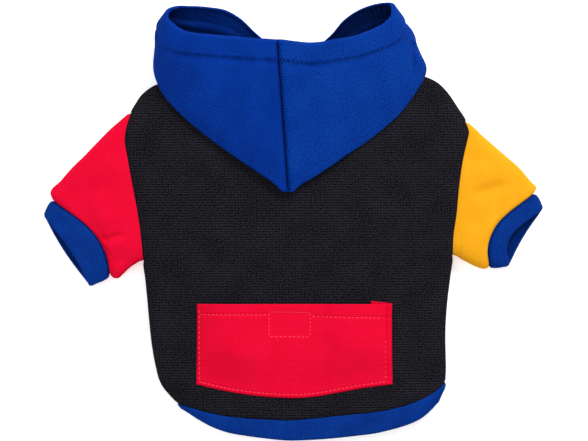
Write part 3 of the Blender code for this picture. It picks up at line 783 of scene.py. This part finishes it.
# %% Make the hood halves
HOOD_FOLDS = {
    LEFT: (
        # x0, y0, x1, y1, width, depth
        (-89.8, 125, -88.8, 110, 2.2, -0.6),
        (-24.8, 121, -13.8, 115, 1.2, 0.5),
        (-70.8, 112, -30.8, 108, 7.0, 0.7),
        (-62.8, 88, -30.8, 60, 8.0, 0.5),
    ),
    RIGHT: (
        (98.2, 132, 87.2, 130, 1.6, 2.8),
        (88.4, 132, 89.2, 104, 1.5, 2.4),
        (63.2, 138, 64.2, 128, 0.9, -0.5),
        (65.2, 121, 29.2, 113, 6.0, 0.7),
        (77.2, 118, 44.2, 80, 7.0, -0.5),
        (13.2, 108, 21.2, 72, 6.0, 0.5),
    ),
}

HOOD_THREADS = 20
HEM_WIDENS = {LEFT: 3.5 * MM, RIGHT: 1.5 * MM}
HEM_STANDS_OUT, HEM_VALLEY = 1.4 * MM, 0.9 * MM


def make_hood(side, name):
    first, *middle, last = [hood_thread(side, 2 * j / (HOOD_THREADS - 1)) for j in range(HOOD_THREADS)]
    lip = Vector((side * SEAM_LIP, 0, 0))
    threads = [first, [point + lip for point in first], *middle, [point + lip for point in last], last]
    net = fine_net(list(zip(*threads)), *HOOD_NET)
    u, v = reach(net, 1), reach(net, 0)
    from_face = v[-1:] - v
    from_crown, from_throat = u, u[:, -1:] - u
    normals = facing(net, outward=side)
    faces_up = slope_up(normals[..., 2], -0.2, 0.3)
    below = from_face - HOOD_HEM - HEM_WIDENS[side] * bump(u / u[:, -1:] - 0.47, 0.13)
    hem = slope_up(from_face, 0.0, 2.5 * MM) * (1 - slope_up(below, -1.2 * MM, 1.6 * MM))
    offset = HEM_STANDS_OUT * hem - HEM_VALLEY * bump(below - 2.6 * MM, 2.6 * MM)
    centre_seam = seam_dip(from_crown, 2.0 * MM, 2.0 * MM) + seam_dip(from_crown, 1.6 * MM, 0.9 * MM)
    away_from_edges = faces_up * (0.4 + 0.6 * slope_up(from_face, 0, 5 * MM))
    offset += centre_seam * (0.3 + 0.7 * away_from_edges) + seam_dip(from_throat)
    offset += seam_dip(v, 0.6 * MM)
    offset -= 0.8 * MM * (1 - slope_up(from_face, 0, 1.2 * MM))
    loose = slope_up(from_face, 17 * MM, 30 * MM) * slope_up(from_crown, 3 * MM, 15 * MM)
    offset += 1.0 * MM * soft_noise(net, 0.030, 7 + side) * loose * faces_up
    pucker = bump(from_face - 19 * MM, 5 * MM) * slope_up(from_crown, 2 * MM, 8 * MM)
    offset += 0.35 * MM * soft_noise(net, 0.007, 9 + side) * pucker * faces_up
    net = place(net)
    net = move_out(net, normals, offset + fold_offset(net, normals, HOOD_FOLDS[side]))
    return cloth_from_net(name, net, JERSEY, (net[..., 0], net[..., 2] - net[..., 1]), outward=side)


hood_left = make_hood(LEFT, "hood_left_cloth")
hood_right = make_hood(RIGHT, "hood_right_cloth")

# %% [markdown]
# ## The patch pocket
#
# The pocket is sewn to the back along its sides and its curved bottom. Its top edge is open, turned in and
# topstitched, and a square of hook-and-loop tape holds the middle of it shut, so the pocket puffs up on
# either side of that square.


# %% Shape the pocket
def pocket_puff(u, share):
    held = (FASTENER_WIDTH / 2 + FASTENER_MARGIN) / (POCKET_WIDTH / 2)
    seat = FASTENER_THICKNESS + REST_GAP
    side_share = (abs(u) - held) / (1 - held)
    puff = seat
    if side_share > 0:
        puff = mix(seat * (1 - ease(side_share)), POCKET_PUFF, math.sin(math.pi * side_share) ** 0.8)
    return puff * (1 - ease((share - 0.46) / 0.54))


def pocket_rows():
    rows = []
    for i in range(10):
        share = i / 9
        row = []
        for j in range(21):
            u = 2 * j / 20 - 1
            x = POCKET_SHIFT + u * POCKET_WIDTH / 2
            curve = POCKET_CURVE * (1 - u * u) * (1 - POCKET_RIGHT_RISE * ease(u))
            y = -POCKET_FROM_NECK - share * (POCKET_LENGTH + curve)
            z = back_height(x, y) + REST_GAP + POCKET_CLOTH + pocket_puff(u, share)
            row.append(Vector((x, y, z)))
        rows.append(row)
    return rows


POCKET_FOLDS = (
    # x0, y0, x1, y1, width, depth
    (19.2, -82, 33.2, -98, 5.0, 0.5),
    (37.2, -92, 53.2, -116, 5.5, 0.7),
    (-50.8, -84, -30.8, -112, 9.0, -0.4),
    (-12.8, -92, 7.2, -116, 9.0, -0.3),
)
# The square that the fastener holds down: left, right, top and bottom, from the pocket's top left corner
HELD = (55.8 * MM, 86.0 * MM, 5.6 * MM, 24.0 * MM)


def make_pocket():
    net = fine_net(pocket_rows(), *POCKET_NET)
    u, v = reach(net, 1), reach(net, 0)
    from_right, from_bottom = u[:, -1:] - u, v[-1:] - v
    edge = np.minimum(np.minimum(u, from_right), from_bottom)
    offset = -0.9 * MM * (1 - slope_up(edge, 0, 1.6 * MM)) - 0.5 * MM * (1 - slope_up(v, 0, 1.2 * MM))
    offset += seam_dip(from_bottom - 2.6 * MM, 0.45 * MM, 0.9 * MM)
    offset += seam_dip(u - 2.8 * MM, 0.25 * MM, 1.0 * MM)
    groove = (1.9 - 0.8 * slope_up(v, 20 * MM, 40 * MM)) * MM * bump(from_right - 4.9 * MM, 0.8 * MM)
    folded_lip = 1.2 * MM * bump(from_right - 2.4 * MM, 1.3 * MM) - groove
    offset += folded_lip * slope_up(from_bottom, 3 * MM, 10 * MM)
    left, right, top, low = HELD
    middle, half = (left + right) / 2, (right - left) / 2
    hem_line = np.where(u < middle, 8.0 * MM, 9.6 * MM)
    beside = slope_up(np.abs(u - middle), half - 1 * MM, half + 1 * MM)
    offset += seam_dip(v - hem_line, 0.5 * MM, 1.0 * MM) * beside
    held = slope_up(u, left - 0.5 * MM, left + 0.5 * MM)
    held *= 1 - slope_up(u, right - 0.5 * MM, right + 0.3 * MM)
    held *= slope_up(v, top - 0.5 * MM, top + 0.5 * MM)
    held *= 1 - slope_up(v, low - 0.6 * MM, low + 0.6 * MM)
    offset += 0.35 * MM * soft_noise(net, 0.020, 12) - 0.6 * MM * held
    normals = facing(net, outward=-1)
    net = place(net)
    net = move_out(net, normals, offset + fold_offset(net, normals, POCKET_FOLDS))
    piece = cloth_from_net("pocket_cloth", net, POCKET_CLOTH, (u.mean(axis=0), v), outward=-1)
    return piece, net, normals, u, v


pocket, pocket_net, pocket_normals, pocket_u, pocket_v = make_pocket()
pocket_middle = pocket_u[len(pocket_u) // 2]


# %% Make the fastener and the loose end of the pocket's hem
def patch(across, down, rise, slope=0.0, count=12):
    """A flat patch on the back. slope lowers its top edge towards the right."""
    rows = []
    for i in range(count + 1):
        row = []
        for j in range(count + 1):
            x = mix(across[0], across[1], j / count)
            y = mix(down[0] - slope * j / count, down[1], i / count)
            row.append((x, y, back_height(x, y) + rise))
        rows.append(row)
    net = place(np.array(rows))
    return net, (reach(net, 1).mean(axis=0), reach(net, 0))


pocket_top = -POCKET_FROM_NECK
pocket_right = POCKET_SHIFT + POCKET_WIDTH / 2
fastener_top = pocket_top - FASTENER_FROM_EDGE
fastener_sides = (POCKET_SHIFT - FASTENER_WIDTH / 2, POCKET_SHIFT + FASTENER_WIDTH / 2)
fastener_ends = (fastener_top, fastener_top - FASTENER_LENGTH)
tab_sides = (pocket_right - TAB_WIDTH, pocket_right - 0.4 * MM)
tab_ends = (pocket_top + TAB_STANDS_OUT, pocket_top - 1.0 * MM)
net, flat = patch(fastener_sides, fastener_ends, REST_GAP + FASTENER_THICKNESS)
fastener = cloth_from_net("fastener_tape", net, FASTENER_THICKNESS, flat, outward=-1)
net, flat = patch(tab_sides, tab_ends, REST_GAP + POCKET_CLOTH, slope=1.9 * MM)
tab = cloth_from_net("pocket_tab_cloth", net, POCKET_CLOTH, flat, outward=-1)

# %% [markdown]
# The topstitching is thread that lies on the cloth between two needle holes. One stitch is modelled by
# hand: a short rod whose ends are drawn out, made thinner and bent down into the cloth. Its copies then
# follow the lines that the machine sewed, on most of them about 3 mm from one to the next.

# %% Model one stitch
STITCH_LENGTH, STITCH_WIDTH, STITCH_PITCH = 2.1 * MM, 0.7 * MM, 3.1 * MM
bpy.ops.mesh.primitive_cylinder_add(
    vertices=8, radius=STITCH_WIDTH / 2, depth=STITCH_LENGTH * 0.6, rotation=(0, math.pi / 2, 0)
)
first_stitch = bpy.context.object
bpy.ops.object.transform_apply(location=True, rotation=True, scale=True)
bpy.ops.object.mode_set(mode="EDIT")
bpy.ops.mesh.select_mode(type="FACE")
for end in (-1, 1):
    bpy.ops.mesh.select_all(action="DESELECT")
    rod = bmesh.from_edit_mesh(first_stitch.data)
    for face in rod.faces:
        face.select = face.normal.x * end > 0.9
    bmesh.update_edit_mesh(first_stitch.data)
    bpy.ops.mesh.extrude_region_move(
        TRANSFORM_OT_translate={"value": (end * STITCH_LENGTH * 0.2, 0, -STITCH_WIDTH * 0.4)}
    )
    bpy.ops.transform.resize(value=(1, 0.4, 0.4))
bpy.ops.object.mode_set(mode="OBJECT")
bpy.ops.object.shade_smooth()
print("faces in a stitch:", len(first_stitch.data.polygons))


# %% Find a place on the pocket
def between(grid, i, j):
    """The value of a net between its points."""
    a, b = min(int(i), grid.shape[0] - 2), min(int(j), grid.shape[1] - 2)
    upper = mix(grid[a, b], grid[a, b + 1], j - b)
    lower = mix(grid[a + 1, b], grid[a + 1, b + 1], j - b)
    return mix(upper, lower, i - a)


def from_top_left(across, down):
    """Lengths from the pocket's top left corner. A negative one is counted from the right or bottom edge."""
    across = across if across >= 0 else pocket_middle[-1] + across
    height = pocket_v[-1, np.searchsorted(pocket_middle, across)]
    return across, down if down >= 0 else height + down


def on_pocket(across, down):
    """A point of the pocket and its normal there."""
    j = np.interp(across, pocket_middle, np.arange(len(pocket_middle)))
    column = pocket_v[:, round(j)]
    i = np.interp(down, column, np.arange(len(column)))
    return Vector(between(pocket_net, i, j)), Vector(between(pocket_normals, i, j))


print("pocket's middle:", on_pocket(0.072, 0.03)[0])


# %% Sew the pocket
SEAMS = (
    # across and down at the start, across and down at the end, pitch, lift, all in millimetres
    (2.5, 7.9, 54.5, 7.9, 3.1, 0.12),
    (86.8, 9.3, 138.8, 10.2, 3.1, 0.12),
    (2.8, 4.0, 2.8, -3.0, 3.6, -0.08),
    (-6.0, 26.0, -6.0, -4.0, 3.6, -0.08),
    (3.0, -2.6, -6.0, -2.6, 3.1, 0.02),
    (56.5, 5.8, 85.5, 6.2, 1.5, 0.12),
    (56.5, 23.8, 85.5, 24.2, 3.1, 0.12),
    (56.0, 6.5, 56.0, 23.5, 2.6, 0.12),
    (86.0, 6.5, 86.0, 23.5, 2.6, 0.12),
)


def sew(line):
    """Copies of the stitch along one line. A line that starts above the bottom edge follows that edge."""
    x0, y0, x1, y1, pitch, lift = [value * MM for value in line]
    start, end = from_top_left(x0, y0), from_top_left(x1, y1)
    count = int(math.dist(start, end) / pitch)
    copies = []
    for i in range(count):
        points = []
        for share in ((i + 0.15) / count, (i + 0.5) / count, (i + 0.85) / count):
            down = mix(y0, y1, share) if y0 < 0 else mix(start[1], end[1], share)
            points.append(on_pocket(*from_top_left(mix(start[0], end[0], share), down)))
        (first, _), (middle, up), (last, _) = points
        ahead = (last - first).normalized()
        side = up.cross(ahead).normalized()
        turn = Matrix((ahead, side, ahead.cross(side))).transposed().to_4x4()
        size = Matrix.Diagonal((min(1.0, pitch / STITCH_PITCH), 1, 1, 1))
        twin = first_stitch.copy()
        twin.data = first_stitch.data.copy()
        twin.data.transform(Matrix.Translation(middle + up * lift) @ turn @ size)
        bpy.context.scene.collection.objects.link(twin)
        copies.append(twin)
    return copies


stitches = [stitch for line in SEAMS for stitch in sew(line)]
bpy.data.objects.remove(first_stitch)
bpy.ops.object.select_all(action="DESELECT")
for stitch in stitches:
    stitch.select_set(True)
bpy.context.view_layer.objects.active = stitches[0]
bpy.ops.object.join()
thread = bpy.context.object
thread.name = thread.data.name = "pocket_stitches"
print("stitches:", len(stitches), "faces:", len(thread.data.polygons))

# %% [markdown]
# ## Materials
#
# Fleece and jersey scatter light in their fibres and have almost no gloss, so their specular level is
# close to nothing. What tells them apart is their surface: fleece shows fine level lines and specks,
# jersey shows rows of small loops. The lines come from a group of nodes that reads the UV map, which
# holds metres of cloth.


# %% Build a group of nodes that draws knitted rows
KNIT_VALUES = ("Rows", "Row strength", "Loops", "Loop strength", "Slant", "Fuzz strength", "Patches")


def knit_group():
    """Rows and Loops are counted per metre of cloth."""
    group = bpy.data.node_groups.new("knit_rows", "ShaderNodeTree")

    def compute(operation, *values):
        node = group.nodes.new("ShaderNodeMath")
        node.operation = operation
        for socket, value in zip(node.inputs, values):
            if isinstance(value, (int, float)):
                socket.default_value = value
            else:
                group.links.new(value, socket)
        return node.outputs["Value"]

    group.interface.new_socket("Vector", in_out="INPUT", socket_type="NodeSocketVector")
    for name in KNIT_VALUES:
        group.interface.new_socket(name, in_out="INPUT", socket_type="NodeSocketFloat")
    for name in ("Tone", "Height"):
        group.interface.new_socket(name, in_out="OUTPUT", socket_type="NodeSocketFloat")
    value = group.nodes.new("NodeGroupInput").outputs
    end = group.nodes.new("NodeGroupOutput")
    parts = group.nodes.new("ShaderNodeSeparateXYZ")
    group.links.new(value["Vector"], parts.inputs["Vector"])
    slanted = compute("MULTIPLY_ADD", parts.outputs["X"], value["Slant"], parts.outputs["Y"])
    rows = compute("MULTIPLY", slanted, value["Rows"])
    row_sine = compute("SINE", compute("MULTIPLY", rows, 2 * math.pi))
    loops = compute("MULTIPLY", parts.outputs["X"], value["Loops"])
    loop_cosine = compute("COSINE", compute("MULTIPLY", loops, 2 * math.pi))
    noises = []
    for scale, detail in ((900, 3), (45, 2)):
        cloud = group.nodes.new("ShaderNodeTexNoise")
        set_inputs(cloud, {"Scale": scale, "Detail": detail})
        group.links.new(value["Vector"], cloud.inputs["Vector"])
        noises.append(compute("SUBTRACT", cloud.outputs["Fac"], 0.5))
    fuzz, broad = noises
    uneven = compute("MULTIPLY_ADD", broad, 3.0, 1.0)
    row_strength = compute("MULTIPLY", value["Row strength"], uneven)
    row_wave = compute("MULTIPLY", row_sine, row_strength)
    loop_wave = compute("MULTIPLY", loop_cosine, value["Loop strength"])
    woven = compute("ADD", row_wave, loop_wave)
    height = compute("MULTIPLY_ADD", fuzz, value["Fuzz strength"], woven)
    tone = compute("MULTIPLY_ADD", broad, value["Patches"], compute("ADD", height, 0.5))
    group.links.new(height, end.inputs["Height"])
    group.links.new(tone, end.inputs["Tone"])
    return group


KNIT = knit_group()
print("node group:", KNIT.name)


# %% Build the cloth materials
def colour_between(tree, tone, dark, light):
    ramp = tree.nodes.new("ShaderNodeValToRGB")
    ramp.color_ramp.elements[0].color = (*dark, 1)
    ramp.color_ramp.elements[1].color = (*light, 1)
    tree.links.new(tone, ramp.inputs["Fac"])
    return ramp.outputs["Color"]


def cloth_material(name, dark, light, knit_values, relief, inside_shade):
    """Cloth whose colour runs from dark to light with its rows, its loops, its fibres and soft patches. Its
    inside faces carry a painted shade.
    """
    material, tree, shader = new_material(name)
    set_inputs(shader, {"Roughness": 0.95, "Specular IOR Level": 0.04})
    uv = tree.nodes.new("ShaderNodeUVMap")
    uv.uv_map = "cloth"
    knit = tree.nodes.new("ShaderNodeGroup")
    knit.node_tree = KNIT
    tree.links.new(uv.outputs["UV"], knit.inputs["Vector"])
    set_inputs(knit, dict(zip(KNIT_VALUES, knit_values)))
    # Painted shade: the inside faces, which the inside attribute marks, are darkened to stand in for the
    # shade inside the openings.
    inside = tree.nodes.new("ShaderNodeAttribute")
    inside.attribute_name = "inside"
    painted_inside_shade = tree.nodes.new("ShaderNodeMix")
    painted_inside_shade.data_type = "RGBA"
    painted_inside_shade.blend_type = "MULTIPLY"
    painted_inside_shade.inputs["B"].default_value = (inside_shade, inside_shade, inside_shade, 1)
    tree.links.new(inside.outputs["Fac"], painted_inside_shade.inputs["Factor"])
    tree.links.new(colour_between(tree, knit.outputs["Tone"], dark, light), painted_inside_shade.inputs["A"])
    tree.links.new(painted_inside_shade.outputs["Result"], shader.inputs["Base Color"])
    nap = tree.nodes.new("ShaderNodeBump")
    set_inputs(nap, {"Strength": 0.6, "Distance": relief})
    tree.links.new(knit.outputs["Height"], nap.inputs["Height"])
    tree.links.new(nap.outputs["Normal"], shader.inputs["Normal"])
    return material


FINISHES = {
    # name: dark, light, values in the order of KNIT_VALUES, relief, painted shade on the inside faces
    "fleece_black": (
        (0.0008, 0.0007, 0.0015), (0.0195, 0.018, 0.0238),
        (520, 0.25, 430, 0.08, 0.0, 3.1, 0.6), 0.0004, 0.7,
    ),
    "jersey_red": (
        (0.60, 0.0008, 0.016), (0.79, 0.004, 0.040),
        (620, 0.20, 700, 0.08, 0.0, 1.2, 0.6), 0.0002, 0.6,
    ),
    "jersey_yellow": (
        (0.72, 0.29, 0.005), (0.83, 0.39, 0.015),
        (700, 0.10, 900, 0.05, 0.0, 0.9, 0.9), 0.0002, 0.6,
    ),
    "jersey_blue": (
        (0.0004, 0.012, 0.15), (0.0024, 0.050, 0.33),
        (550, 0.27, 600, 0.08, -0.7, 1.8, 0.8), 0.0003, 0.28,
    ),
    # The left hood half is the same blue jersey in a copy of its own: straight, fainter knit lines, its own
    # tones, and a lighter painted shade on its inside faces than the right half.
    "jersey_blue_left_shaded": (
        (0.0004, 0.016, 0.16), (0.0016, 0.038, 0.31),
        (560, 0.12, 600, 0.10, 0.0, 1.6, 0.9), 0.0003, 0.60,
    ),
    "rib_blue": (
        (0.0006, 0.012, 0.11), (0.0028, 0.044, 0.30),
        (650, 0.06, 1 / RIB_PITCH, 0.15, 0.0, 1.4, 0.8), 0.0002, 0.8,
    ),
    "hook_and_loop": (
        (0.010, 0.010, 0.010), (0.030, 0.030, 0.030),
        (900, 0.20, 900, 0.20, 0.0, 1.0, 0.3), 0.0004, 0.8,
    ),
}
materials = {name: cloth_material(name, *values) for name, values in FINISHES.items()}
thread_red, thread_tree, thread_shader = new_material("thread_red")
thread_shader.inputs["Roughness"].default_value = 0.6
sheen = thread_tree.nodes.new("ShaderNodeTexNoise")
sheen.inputs["Scale"].default_value = 600
thread_place = thread_tree.nodes.new("ShaderNodeTexCoord")
thread_tree.links.new(thread_place.outputs["Object"], sheen.inputs["Vector"])
thread_colour = colour_between(thread_tree, sheen.outputs["Fac"], (0.80, 0.010, 0.045), (0.92, 0.045, 0.10))
thread_tree.links.new(thread_colour, thread_shader.inputs["Base Color"])
print("materials:", ", ".join(materials))

# %% [markdown]
# ## Hand the pieces over
#
# Every sheet's row also says how large its cut was, its area and what it rests on, though the loop below
# reads only the piece, the solid and the slot.


def hand_over(piece, material, node=None):
    piece.data.materials.append(material)
    if node is not None:
        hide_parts(node)
    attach(piece, "root")


SHEETS = (
    # piece, solid it stands for, slot, cut width, cut length, area, cloth that it rests on
    (back_piece, "back_panel", "fleece_black", 0.26, 0.26, 0.056, ["chest_panel_cloth"]),
    (chest_piece, "chest_panel", "fleece_black", 0.26, 0.25, 0.052, []),
    (sleeve_left, "sleeve_left", "jersey_red", 0.23, 0.07, 0.0095, []),
    (sleeve_right, "sleeve_right", "jersey_yellow", 0.23, 0.07, 0.0081, []),
    (cuff_left, "cuff_left", "rib_blue", 0.18, 0.022, 0.0034, []),
    (cuff_right, "cuff_right", "rib_blue", 0.15, 0.020, 0.0025, []),
    (hem_piece, "hem_band", "rib_blue", 0.43, 0.018, 0.0072, []),
    (hood_left, "hood_left", "jersey_blue", 0.21, 0.20, 0.0195, ["back_panel_cloth"]),
    (hood_right, "hood_right", "jersey_blue", 0.21, 0.20, 0.0196, ["back_panel_cloth"]),
    (pocket, "pocket", "jersey_red", 0.145, 0.070, 0.0099, ["back_panel_cloth"]),
    (fastener, "pocket_fastener", "hook_and_loop", 0.030, 0.019, None, ["back_panel_cloth"]),
)
for piece, node, slot, width, length, area, rests_on in SHEETS:
    # The left hood half takes its own copy of the jersey, with its lighter painted inside shade.
    hand_over(piece, materials["jersey_blue_left_shaded" if node == "hood_left" else slot], node)
hand_over(tab, materials["jersey_red"], "pocket_tab")
hand_over(thread, thread_red)
print("sheets:", len(SHEETS))
